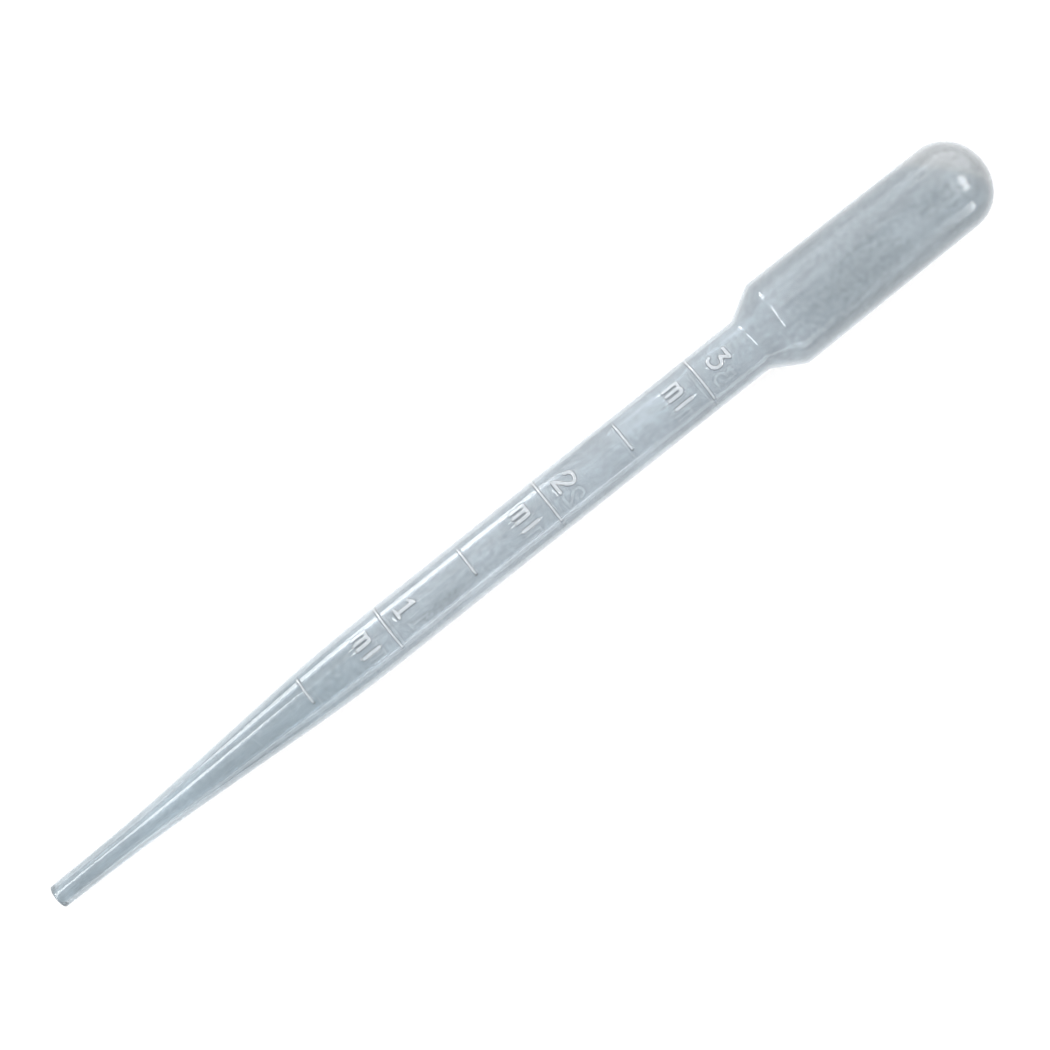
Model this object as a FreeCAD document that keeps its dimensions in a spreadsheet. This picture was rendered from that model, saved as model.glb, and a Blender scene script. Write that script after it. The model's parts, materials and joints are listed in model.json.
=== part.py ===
import FreeCAD, Part
import os
import Sketcher

# A graduated transfer pipette, blow moulded in one piece from soft polyethylene. Millimetres and degrees.
#
# The moulding is drawn about its own X axis, from the mouth of its tip at X = 0 to the end of its bulb, with
# the volume marks centred on the XZ plane. It is then laid down as it rests on a table, with X along the
# table: it leans on its lowest mark and the shoulder of its bulb, and it has rolled a little about its axis.

NODE = "pipette_body"
NEAR = 1e-6

# The driving dimensions. Each name is the alias of a cell in the sheet.
SIZES = {
    # Lengths along the axis, from corner to corner, from the mouth of the tip to the end of the bulb
    "tip_length": 14.0,
    "taper_length": 33.5,
    "stem_length": 68.8,
    "shoulder_length": 4.4,
    "bulb_length": 34.3,
    # Outside diameters, the last two at the shoulder and where the dome begins
    "mouth_diameter": 3.36,
    "tip_diameter": 3.7,
    "stem_diameter": 8.0,
    "bulb_diameter": 13.2,
    "bulb_end_diameter": 12.72,
    # The domed end of the bulb: its depth, and how full its curve is (0.55 would make it an ellipse)
    "dome_depth": 5.8,
    "dome_fullness": 0.58,
    # The inside: the wall is thick in the drawn tip and thins toward the bulb, which is blown out the most
    "bore_diameter": 2.3,
    "taper_end_wall": 0.56,
    "stem_end_wall": 0.44,
    "bulb_wall": 0.4,
    "bulb_end_wall": 0.5,
    # The long bends that lead the tip into the taper and the taper into the stem
    "foot_bend_radius": 360.0,
    "foot_inner_bend_radius": 150.0,
    "head_bend_radius": 250.0,
    "head_inner_bend_radius": 250.0,
    # Rounded corners
    "mouth_rounding": 0.25,
    "neck_rounding": 1.2,
    "neck_inner_rounding": 1.6,
    "shoulder_rounding": 1.6,
    "shoulder_inner_rounding": 1.2,
    # Raised volume marks: their section, and how far a full and a half millilitre's run round the stem
    "mark_width": 0.5,
    "mark_crest_width": 0.24,
    "mark_height": 0.2,
    "mark_root_depth": 0.2,
    "full_mark_span": 105.0,
    "half_mark_span": 59.0,
    # The marks are set out down the stem, from the neck to the highest one and from each to the next
    "neck_to_3_ml_mark": 8.4,
    "step_to_2_5_ml_mark": 12.5,
    "step_to_2_ml_mark": 12.9,
    "step_to_1_5_ml_mark": 13.0,
    "step_to_1_ml_mark": 13.4,
    "step_to_0_5_ml_mark": 13.5,
    # How far the pipette has rolled about its axis, where it lies
    "roll_angle": -17.0,
}

# Expressions of the sheet: places along the axis, then radii
ZERO = "0"
FOOT = "Sizes.tip_length"
HEAD = "(Sizes.tip_length + Sizes.taper_length)"
NECK = f"({HEAD} + Sizes.stem_length)"
SHOULDER = f"({NECK} + Sizes.shoulder_length)"
BULB_END = f"({SHOULDER} + Sizes.bulb_length)"
DOME_START = f"({BULB_END} - Sizes.dome_depth)"
CAVITY_END = f"({BULB_END} - Sizes.bulb_end_wall)"

MOUTH_RADIUS = "Sizes.mouth_diameter / 2"
TIP_RADIUS = "Sizes.tip_diameter / 2"
STEM_RADIUS = "Sizes.stem_diameter / 2"
BULB_RADIUS = "Sizes.bulb_diameter / 2"
BULB_END_RADIUS = "Sizes.bulb_end_diameter / 2"
BORE_RADIUS = "Sizes.bore_diameter / 2"

# The bend at the head of the taper: the slope that it turns from, and how far it reaches along the stem
TAPER_SLOPE = f"atan2({STEM_RADIUS} - {TIP_RADIUS}; Sizes.taper_length)"
HEAD_BEND_REACH = f"Sizes.head_bend_radius * tan({TAPER_SLOPE} / 2)"

# The corners of the outside at the two ends of the shoulder, and the inner corners across the wall from them,
# which the shoulder's slant moves along the axis by a share of the wall
SHOULDER_SHIFT = f"tan(atan2({BULB_RADIUS} - {STEM_RADIUS}; Sizes.shoulder_length) / 2)"
FOOT_CORNER = (FOOT, TIP_RADIUS)
HEAD_CORNER = (HEAD, STEM_RADIUS)
NECK_CORNER = (NECK, STEM_RADIUS)
SHOULDER_CORNER = (SHOULDER, BULB_RADIUS)
INNER_FOOT_CORNER = (FOOT, BORE_RADIUS)
INNER_HEAD_CORNER = (HEAD, f"({STEM_RADIUS} - Sizes.taper_end_wall)")
INNER_NECK_CORNER = (
    f"({NECK} + Sizes.stem_end_wall * {SHOULDER_SHIFT})",
    f"({STEM_RADIUS} - Sizes.stem_end_wall)",
)
INNER_SHOULDER_CORNER = (
    f"({SHOULDER} + Sizes.bulb_wall * {SHOULDER_SHIFT})",
    f"({BULB_RADIUS} - Sizes.bulb_wall)",
)

MARK_STEPS = [name for name in SIZES if name.endswith("ml_mark")]
MARKS = [
    f"({NECK} - " + " - ".join(f"Sizes.{step}" for step in MARK_STEPS[: count + 1]) + ")"
    for count in range(len(MARK_STEPS))
]
FULL_MARKS = MARKS[0::2]
HALF_MARKS = MARKS[1::2]
LOWEST_MARK = MARKS[-1]


def outer_radius(place):
    """Gives the outside radius at a place on the stem, on the bend below it or on the taper."""
    below_stem = f"max(0; {HEAD} + {HEAD_BEND_REACH} - {place})"
    in_bend = f"min({below_stem}; Sizes.head_bend_radius * sin({TAPER_SLOPE}))"
    drop = f"(Sizes.head_bend_radius - sqrt(Sizes.head_bend_radius ^ 2 - {in_bend} ^ 2))"
    return f"({STEM_RADIUS} - {drop} - ({below_stem} - {in_bend}) * tan({TAPER_SLOPE}))"


def make_sheet():
    """Makes the sheet, with a name and a number in each row."""
    sheet = document.addObject("Spreadsheet::Sheet", "Sizes")
    for row, (alias, size) in enumerate(SIZES.items(), start=1):
        sheet.set(f"A{row}", alias.replace("_", " "))
        sheet.set(f"B{row}", str(size))
        sheet.setAlias(f"B{row}", alias)
    document.recompute()
    return sheet


def number(expression):
    """Gives what an expression of the sheet comes to."""
    return float(sheet.evalExpression(expression))


# A sketch's own numbers for the points of an edge, its two axes and its origin
START, END, CENTRE = 1, 2, 3
LEVEL, UPRIGHT = -1, -2
ORIGIN = (-1, 1)


def vector(corner):
    """Gives a corner of an outline as a point of its sketch."""
    place, radius = corner
    return FreeCAD.Vector(number(place), number(radius), 0)


def origin_part(body, role):
    """Finds a plane or an axis of a body's own origin."""
    return next(part for part in body.Origin.OriginFeatures if part.Role == role)


def slope(corner, after):
    """Gives the angle at which a straight edge leads from one corner to another."""
    return f"atan2({after[1]} - {corner[1]}; {after[0]} - {corner[0]})"


def moved(corner, angle, reach):
    """Gives the point that lies a reach away from a corner, at an angle to the axis."""
    return f"{corner[0]} + {reach} * cos({angle})", f"{corner[1]} + {reach} * sin({angle})"


class Outline:
    """Closed loops in a sketch on a body's XZ plane. A corner or a pole is a place and a radius."""

    def __init__(self, body, name):
        self.sketch = body.newObject("Sketcher::SketchObject", name)
        self.sketch.AttachmentSupport = (origin_part(body, "XZ_Plane"), "")
        self.sketch.MapMode = "FlatFace"

    def begin(self, corner):
        """Begins a loop at a corner."""
        self.opening = corner
        self.corner = corner
        self.pen = vector(corner)
        self.head = None
        self.tail = None

    def line(self, corner):
        """Draws a straight edge to a corner."""
        edge = self.add(Part.LineSegment(self.pen, vector(corner)))
        self.hold(edge, END, corner)
        self.corner = corner
        self.pen = vector(corner)

    def bend(self, corner, after, radius):
        """Draws a straight edge toward a corner, and the arc that bends it toward the corner after that."""
        before, beyond = slope(self.corner, corner), slope(corner, after)
        reach = f"{radius} * tan(abs({beyond} - {before}) / 2)"
        end = moved(corner, beyond, reach)
        self.line(moved(corner, before, f"-{reach}"))
        # The arc crosses the line from the middle of its chord to the corner at this share of it
        share = number(f"1 / (1 + 1 / cos(({beyond} - {before}) / 2))")
        chord_middle = (self.pen + vector(end)) / 2
        crossing = chord_middle + (vector(corner) - chord_middle) * share
        # A sketch's arcs all run anticlockwise, so one that bends to the right is joined end first
        ends = (START, END) if number(beyond) > number(before) else (END, START)
        edge = self.add(Part.Arc(self.pen, crossing, vector(end)), *ends)
        self.hold(edge, ends[1], end)
        self.bind(Sketcher.Constraint("Radius", edge, number(radius)), radius)
        self.corner = corner
        self.pen = vector(end)

    def curve(self, *poles):
        """Draws a cubic curve over three poles, the last of them its end."""
        points = [self.pen, *map(vector, poles)]
        spline = Part.BSplineCurve()
        spline.buildFromPolesMultsKnots(points, [4, 4], [0, 1], False, 3)
        edge = self.add(spline)
        self.sketch.exposeInternalGeometry(edge)
        for count, pole in enumerate(poles, start=2):
            self.hold(edge + count, CENTRE, pole)
        self.corner = poles[-1]
        self.pen = vector(self.corner)

    def close(self):
        """Draws the straight edge that leads back to the first corner."""
        edge = self.add(Part.LineSegment(self.pen, vector(self.opening)))
        self.join(edge, END, *self.head)

    def add(self, geometry, first=START, last=END):
        """Adds an edge whose first point is where the edge before it left off."""
        edge = self.sketch.addGeometry(geometry)
        if self.tail:
            self.join(*self.tail, edge, first)
        else:
            self.hold(edge, first, self.opening)
            self.head = (edge, first)
        self.tail = (edge, last)
        return edge

    def join(self, *points):
        """Ties a point of one edge to a point of another."""
        self.sketch.addConstraint(Sketcher.Constraint("Coincident", *points))

    def hold(self, edge, point, corner):
        """Holds a point of an edge at its place and its radius, both bound to the sheet."""
        for kind, axis, expression in zip(("DistanceX", "DistanceY"), (UPRIGHT, LEVEL), corner):
            if expression == ZERO:
                self.sketch.addConstraint(Sketcher.Constraint("PointOnObject", edge, point, axis))
            else:
                size = number(expression)
                self.bind(Sketcher.Constraint(kind, *ORIGIN, edge, point, size), expression)

    def bind(self, constraint, expression):
        """Adds a constraint whose size follows an expression of the sheet."""
        added = self.sketch.addConstraint(constraint)
        self.sketch.setExpression(f"Constraints[{added}]", expression)


def dome_poles(end, radius):
    """Gives the poles of a dome that starts at a radius and ends on the axis."""
    reach = f"({end} - {DOME_START}) * Sizes.dome_fullness"
    return (f"{DOME_START} + {reach}", radius), (end, f"{radius} * Sizes.dome_fullness"), (end, ZERO)


def draw_outside(body):
    """Draws the outside, from the axis at the mouth to the axis at the end of the bulb."""
    outline = Outline(body, "OutsideOutline")
    outline.begin((ZERO, ZERO))
    outline.line((ZERO, MOUTH_RADIUS))
    outline.bend(FOOT_CORNER, HEAD_CORNER, "Sizes.foot_bend_radius")
    outline.bend(HEAD_CORNER, NECK_CORNER, "Sizes.head_bend_radius")
    outline.line(NECK_CORNER)
    outline.line(SHOULDER_CORNER)
    outline.line((DOME_START, BULB_END_RADIUS))
    outline.curve(*dome_poles(BULB_END, BULB_END_RADIUS))
    outline.close()
    return outline.sketch


def draw_inside(body):
    """Draws the space inside, which leaves the walls between itself and the outside."""
    bulb_end_radius = f"({BULB_END_RADIUS} - Sizes.bulb_wall)"
    outline = Outline(body, "InsideOutline")
    outline.begin((ZERO, ZERO))
    outline.line((ZERO, BORE_RADIUS))
    outline.bend(INNER_FOOT_CORNER, INNER_HEAD_CORNER, "Sizes.foot_inner_bend_radius")
    outline.bend(INNER_HEAD_CORNER, INNER_NECK_CORNER, "Sizes.head_inner_bend_radius")
    outline.line(INNER_NECK_CORNER)
    outline.line(INNER_SHOULDER_CORNER)
    outline.line((DOME_START, bulb_end_radius))
    outline.curve(*dome_poles(CAVITY_END, bulb_end_radius))
    outline.close()
    return outline.sketch


def draw_marks(body, name, places):
    """Draws the sections of some marks, each rooted in the wall that it stands on."""
    outline = Outline(body, name)
    for place in places:
        wall = outer_radius(place)
        root = f"{wall} - Sizes.mark_root_depth"
        crest = f"{wall} + Sizes.mark_height"
        outline.begin((f"{place} - Sizes.mark_width / 2", root))
        outline.line((f"{place} - Sizes.mark_width / 2", wall))
        outline.line((f"{place} - Sizes.mark_crest_width / 2", crest))
        outline.line((f"{place} + Sizes.mark_crest_width / 2", crest))
        outline.line((f"{place} + Sizes.mark_width / 2", wall))
        outline.line((f"{place} + Sizes.mark_width / 2", root))
        outline.close()
    return outline.sketch


def turn(body, kind, name, sketch):
    """Turns an outline about the axis of the pipette, a whole turn unless its angle is set later."""
    feature = body.newObject(kind, name)
    feature.Profile = sketch
    feature.ReferenceAxis = (sketch, ["H_Axis"])
    feature.Angle = 360
    return feature


def raise_marks(body, name, places, span):
    """Raises some marks on the wall, each over an arc of the same span."""
    marks = turn(body, "PartDesign::Revolution", name, draw_marks(body, f"{name}Outline", places))
    marks.Midplane = True
    marks.setExpression("Angle", f"Sizes.{span}")
    return marks


def round_corner(body, name, corner, rounding):
    """Rounds the circular edge that a corner of an outline has left on the body."""
    document.recompute()
    wall = body.Tip
    edges = [
        f"Edge{index}"
        for index, edge in enumerate(wall.Shape.Edges, start=1)
        if not edge.Degenerated
        and isinstance(edge.Curve, Part.Circle)
        and abs(edge.Curve.Center.x - number(corner[0])) < NEAR
        and abs(edge.Curve.Radius - number(corner[1])) < NEAR
    ]
    fillet = body.newObject("PartDesign::Fillet", name)
    fillet.Base = (wall, edges)
    fillet.setExpression("Radius", f"Sizes.{rounding}")


def make_pipette():
    """Makes the moulding: the wall, its rounded corners, and the marks on the front and the back."""
    body = document.addObject("PartDesign::Body", NODE)
    body.Label = NODE
    outside = turn(body, "PartDesign::Revolution", "Outside", draw_outside(body))
    document.recompute()
    turn(body, "PartDesign::Groove", "Inside", draw_inside(body))
    document.recompute()
    if not body.Shape.Volume < outside.Shape.Volume:
        raise RuntimeError("The space inside was not cut")
    round_corner(body, "MouthRounding", (ZERO, MOUTH_RADIUS), "mouth_rounding")
    round_corner(body, "NeckRounding", NECK_CORNER, "neck_rounding")
    round_corner(body, "NeckInnerRounding", INNER_NECK_CORNER, "neck_inner_rounding")
    round_corner(body, "ShoulderRounding", SHOULDER_CORNER, "shoulder_rounding")
    round_corner(body, "ShoulderInnerRounding", INNER_SHOULDER_CORNER, "shoulder_inner_rounding")
    full_marks = raise_marks(body, "FullMarks", FULL_MARKS, "full_mark_span")
    half_marks = raise_marks(body, "HalfMarks", HALF_MARKS, "half_mark_span")
    both_sides = body.newObject("PartDesign::PolarPattern", "MarksOnBothSides")
    both_sides.Originals = [full_marks, half_marks]
    both_sides.Axis = (origin_part(body, "X_Axis"), [""])
    both_sides.Angle = 360
    both_sides.Occurrences = 2
    body.Tip = both_sides
    return body


def lay_down(body):
    """Lays the pipette on the table, halfway along X, on its lowest mark and the shoulder of its bulb."""
    crest = f"({outer_radius(LOWEST_MARK)} + Sizes.mark_height)"
    lean = f"atan2({BULB_RADIUS} - {crest}; {SHOULDER} - {LOWEST_MARK})"
    middle = f"-{BULB_END} / 2 * cos({lean})"
    height = f"{BULB_RADIUS} * cos({lean}) - {SHOULDER} * sin({lean})"
    turned = f"rotation(0; -{lean}; Sizes.roll_angle)"
    body.setExpression("Placement", f"placement(vector({middle}; 0; {height}); {turned})")
    document.recompute()


def check():
    """Stops the build if any object of the document has failed or the pipette isn't one sound solid."""
    for thing in document.Objects:
        if "Invalid" in thing.State or "Error" in thing.State:
            raise RuntimeError(f"{thing.Name} failed: {thing.State}")
    shape = pipette.Shape
    if shape.isNull() or not shape.isValid() or len(shape.Solids) != 1:
        raise RuntimeError(f"{NODE} is not one sound solid")


document = FreeCAD.newDocument("TransferPipette")
sheet = make_sheet()
pipette = make_pipette()
lay_down(pipette)
check()
os.makedirs("parts", exist_ok=True)
pipette.Shape.exportStep(f"parts/{NODE}.step")
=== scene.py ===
"""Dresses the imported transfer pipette: one moulding in semi-clear polyethylene, on a white table."""

import json
import logging
import math
from dataclasses import dataclass, field
from enum import Enum
from typing import Any, Iterable

import bpy
from mathutils import Euler, Matrix, Vector


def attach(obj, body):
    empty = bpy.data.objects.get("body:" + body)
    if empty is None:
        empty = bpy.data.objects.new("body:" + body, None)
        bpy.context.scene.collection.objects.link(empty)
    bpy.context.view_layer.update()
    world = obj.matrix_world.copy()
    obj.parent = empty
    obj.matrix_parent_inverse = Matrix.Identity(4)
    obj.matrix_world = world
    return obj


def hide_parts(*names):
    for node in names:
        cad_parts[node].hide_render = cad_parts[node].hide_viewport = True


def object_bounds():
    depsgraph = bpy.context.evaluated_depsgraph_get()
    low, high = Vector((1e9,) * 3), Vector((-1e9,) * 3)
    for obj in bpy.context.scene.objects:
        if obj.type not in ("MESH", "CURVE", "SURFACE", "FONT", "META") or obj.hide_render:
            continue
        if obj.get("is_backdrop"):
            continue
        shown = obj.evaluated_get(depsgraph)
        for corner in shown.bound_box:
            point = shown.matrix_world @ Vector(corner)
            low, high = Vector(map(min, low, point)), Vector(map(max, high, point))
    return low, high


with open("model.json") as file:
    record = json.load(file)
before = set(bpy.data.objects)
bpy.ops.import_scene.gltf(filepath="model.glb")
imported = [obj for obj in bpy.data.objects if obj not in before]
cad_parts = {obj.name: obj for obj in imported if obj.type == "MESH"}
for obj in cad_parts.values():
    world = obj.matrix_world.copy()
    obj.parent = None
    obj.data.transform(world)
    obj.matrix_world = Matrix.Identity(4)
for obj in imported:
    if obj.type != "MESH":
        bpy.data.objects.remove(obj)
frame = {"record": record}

log = logging.getLogger("pipette")

MM = 0.001
RELIEF = "relief"
SLACK = 1e-6

Point = tuple[float, float]
Bend = tuple[float, int]
Colour = tuple[float, float, float, float]


class Line(Enum):
    """How a stroke runs between its points."""

    STRAIGHT = "straight"
    CURVED = "curved"


class Character(Enum):
    """The moulded characters, as the middle lines of their strokes.

    Each stroke is a kind of line and its points in millimetres: to the right, then up, from the middle
    of the character's foot.
    """

    ONE = (
        (Line.STRAIGHT, ((-0.55, 2.3), (0.0, 2.75), (0.0, 0.0))),
        (Line.STRAIGHT, ((-0.6, 0.0), (0.55, 0.0))),
    )
    TWO = (
        (
            Line.CURVED,
            ((-0.82, 2.0), (-0.62, 2.56), (0.0, 2.78), (0.62, 2.55), (0.8, 2.0), (0.5, 1.4),
             (-0.1, 0.85), (-0.62, 0.4), (-0.85, 0.0)),
        ),
        (Line.STRAIGHT, ((-0.85, 0.0), (0.88, 0.0))),
    )
    THREE = (
        (Line.STRAIGHT, ((-0.72, 2.78), (0.72, 2.78), (-0.12, 1.72))),
        (
            Line.CURVED,
            ((-0.12, 1.72), (0.4, 1.66), (0.8, 1.3), (0.86, 0.82), (0.62, 0.26), (0.05, 0.0),
             (-0.5, 0.1), (-0.85, 0.52)),
        ),
    )
    M = (
        (Line.STRAIGHT, ((-0.78, 0.0), (-0.78, 2.12))),
        (Line.CURVED, ((-0.78, 1.7), (-0.62, 2.04), (-0.3, 2.12), (-0.06, 1.96), (0.0, 1.6))),
        (Line.STRAIGHT, ((0.0, 1.6), (0.0, 0.0))),
        (Line.CURVED, ((0.0, 1.7), (0.14, 2.02), (0.42, 2.12), (0.7, 1.98), (0.78, 1.6))),
        (Line.STRAIGHT, ((0.78, 1.6), (0.78, 0.0))),
    )
    L = ((Line.STRAIGHT, ((0.0, 2.55), (0.0, 0.0))),)


@dataclass(frozen=True)
class Word:
    """Characters that are set beside a mark: what they are, and where the middle of each foot lies.

    Attributes:
        letters: The characters, each with its place to the right of the mark's middle, in millimetres.
        rise: How far the foot of the characters lies above the mark, in millimetres.
        height: How tall the tallest of them is, in millimetres.
    """

    letters: tuple[tuple[Character, float], ...]
    rise: float
    height: float


@dataclass(frozen=True)
class Mark:
    """A raised volume mark.

    Attributes:
        place: Its place along the pipette from the mouth, in millimetres.
        full: Whether it stands for a full millilitre.
        words: What is moulded above and below it.
    """

    place: float
    full: bool
    words: tuple[Word, ...] = ()


def unit_word() -> Word:
    """Gives the unit, which stands below a full mark."""
    return Word(((Character.M, -0.35), (Character.L, 1.75)), rise=-4.85, height=2.55)


def figure(character: Character) -> Word:
    """Gives a figure, which stands above its mark."""
    return Word(((character, -0.05),), rise=2.08, height=2.78)


@dataclass(frozen=True)
class Corner:
    """A corner of an outline.

    Attributes:
        place: Its place along the pipette from the mouth, in millimetres.
        radius: Its distance from the pipette's axis, in millimetres.
        rounding: The radius of the arc that rounds it off, in millimetres, or zero.
        steps: The number of straight pieces in that arc.
    """

    place: float
    radius: float
    rounding: float = 0.0
    steps: int = 1

    def point(self) -> Vector:
        """Gives the corner as a point of the outline's plane."""
        return Vector((self.place, self.radius))


def rounded(before: Vector, corner: Corner, after: Vector) -> list[Vector]:
    """Rounds off a corner.

    Args:
        before: The point that the outline comes from.
        corner: The corner.
        after: The point that the outline goes to.

    Returns:
        The points of the arc, or the corner alone if it isn't rounded.
    """
    middle = corner.point()
    if not corner.rounding:
        return [middle]
    back, on = (before - middle).normalized(), (after - middle).normalized()
    half = back.angle(on) / 2
    start, end = (middle + way * corner.rounding / math.tan(half) for way in (back, on))
    centre = middle + (back + on).normalized() * corner.rounding / math.sin(half)
    turn = (start - centre).angle_signed(end - centre)
    first = math.atan2(start.y - centre.y, start.x - centre.x)
    return [
        centre + Vector((math.cos(angle), math.sin(angle))) * corner.rounding
        for angle in (first - turn * step / corner.steps for step in range(corner.steps + 1))
    ]


def cubic(poles: tuple[Vector, ...], steps: int) -> list[Vector]:
    """Gives points on a cubic curve.

    Args:
        poles: Its four poles.
        steps: The number of straight pieces.

    Returns:
        The points after the first pole, up to and with the last.
    """
    shares = (step / steps for step in range(1, steps + 1))
    return [
        poles[0] * (1 - t) ** 3
        + poles[1] * 3 * t * (1 - t) ** 2
        + poles[2] * 3 * t ** 2 * (1 - t)
        + poles[3] * t ** 3
        for t in shares
    ]


@dataclass
class Wall:
    """The wall of the moulding, drawn about its own axis.

    Sizes are in millimetres, and places are measured from the mouth of the tip. A bend is its radius and
    the number of straight pieces in its arc.

    Attributes:
        foot: Where the taper begins.
        head: Where the taper ends and the stem begins.
        neck: Where the stem ends and the wall widens.
        shoulder: Where the bulb reaches its full width.
        end: Where the bulb ends.
        dome_depth: How long the dome at the bulb's end is.
        dome_fullness: How full the dome is, as a share of its depth and of its width.
        dome_steps: The number of straight pieces in the dome's outline.
        mouth_radius: The outside radius at the mouth.
        tip_radius: The outside radius at the foot of the taper.
        stem_radius: The outside radius of the stem.
        bulb_radius: The outside radius of the bulb at its shoulder.
        bulb_end_radius: The outside radius where the dome begins.
        bore_radius: The inside radius of the tip.
        taper_end_wall: The wall's thickness at the head of the taper.
        stem_end_wall: Its thickness at the neck.
        bulb_wall: Its thickness along the bulb.
        bulb_end_wall: Its thickness at the bulb's end.
        rim_bend: The bend round the rim of the mouth.
        foot_bend: The bend at the foot of the taper, outside.
        head_bend: The bend at its head, outside.
        neck_bend: The bend at the neck, outside.
        shoulder_bend: The bend at the shoulder, outside.
        inner_foot_bend: The bend at the foot of the taper, inside.
        inner_head_bend: The bend at its head, inside.
        inner_neck_bend: The bend at the neck, inside.
        inner_shoulder_bend: The bend at the shoulder, inside.
    """

    foot: float = 14.0
    head: float = 47.5
    neck: float = 116.3
    shoulder: float = 120.7
    end: float = 155.0
    dome_depth: float = 5.8
    dome_fullness: float = 0.58
    dome_steps: int = 26
    mouth_radius: float = 1.68
    tip_radius: float = 1.85
    stem_radius: float = 4.0
    bulb_radius: float = 6.6
    bulb_end_radius: float = 6.36
    bore_radius: float = 1.15
    taper_end_wall: float = 0.56
    stem_end_wall: float = 0.44
    bulb_wall: float = 0.4
    bulb_end_wall: float = 0.5
    rim_bend: Bend = (0.25, 6)
    foot_bend: Bend = (360.0, 16)
    head_bend: Bend = (250.0, 14)
    neck_bend: Bend = (1.2, 7)
    shoulder_bend: Bend = (1.6, 8)
    inner_foot_bend: Bend = (150.0, 12)
    inner_head_bend: Bend = (250.0, 12)
    inner_neck_bend: Bend = (1.6, 7)
    inner_shoulder_bend: Bend = (1.2, 7)

    def outside(self) -> list[Vector]:
        """Draws the outside, from the rim of the mouth to the end of the bulb.

        Returns:
            The points of its outline.
        """
        corners = [
            Corner(0.0, self.bore_radius),
            Corner(0.0, self.mouth_radius, *self.rim_bend),
            Corner(self.foot, self.tip_radius, *self.foot_bend),
            Corner(self.head, self.stem_radius, *self.head_bend),
            Corner(self.neck, self.stem_radius, *self.neck_bend),
            Corner(self.shoulder, self.bulb_radius, *self.shoulder_bend),
            Corner(self.end - self.dome_depth, self.bulb_end_radius),
        ]
        return self.outline(corners, self.end)

    def inside(self) -> list[Vector]:
        """Draws the space inside, from the rim of the mouth to the end of the bulb.

        Returns:
            The points of its outline.
        """
        shift = math.tan(math.atan2(self.bulb_radius - self.stem_radius, self.shoulder - self.neck) / 2)
        neck, shoulder = self.neck + self.stem_end_wall * shift, self.shoulder + self.bulb_wall * shift
        corners = [
            Corner(0.0, self.bore_radius),
            Corner(self.foot, self.bore_radius, *self.inner_foot_bend),
            Corner(self.head, self.stem_radius - self.taper_end_wall, *self.inner_head_bend),
            Corner(neck, self.stem_radius - self.stem_end_wall, *self.inner_neck_bend),
            Corner(shoulder, self.bulb_radius - self.bulb_wall, *self.inner_shoulder_bend),
            Corner(self.end - self.dome_depth, self.bulb_end_radius - self.bulb_wall),
        ]
        return self.outline(corners, self.end - self.bulb_end_wall)

    def outline(self, corners: list[Corner], end: float) -> list[Vector]:
        """Joins corners into an outline and closes it with a dome.

        Args:
            corners: The corners, the last of them where the dome begins.
            end: The place of the dome's end on the axis.

        Returns:
            The points of the outline.
        """
        points = [corners[0].point()]
        for before, corner, after in zip(corners, corners[1:], corners[2:]):
            points += rounded(before.point(), corner, after.point())
        start = corners[-1].point()
        reach = (end - start.x) * self.dome_fullness
        poles = (
            start,
            start + Vector((reach, 0.0)),
            Vector((end, start.y * self.dome_fullness)),
            Vector((end, 0.0)),
        )
        return [*points, start, *cubic(poles, self.dome_steps)]

    def radius_at(self, place: float) -> float:
        """Gives the outside radius at a place between the mouth and the neck.

        Args:
            place: The place from the mouth, in millimetres.

        Returns:
            The radius, in millimetres.
        """
        outline = self.outside()
        for before, after in zip(outline, outline[1:]):
            if before.x <= place <= after.x and after.x > before.x:
                return before.y + (after.y - before.y) * (place - before.x) / (after.x - before.x)
        return self.stem_radius


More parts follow.
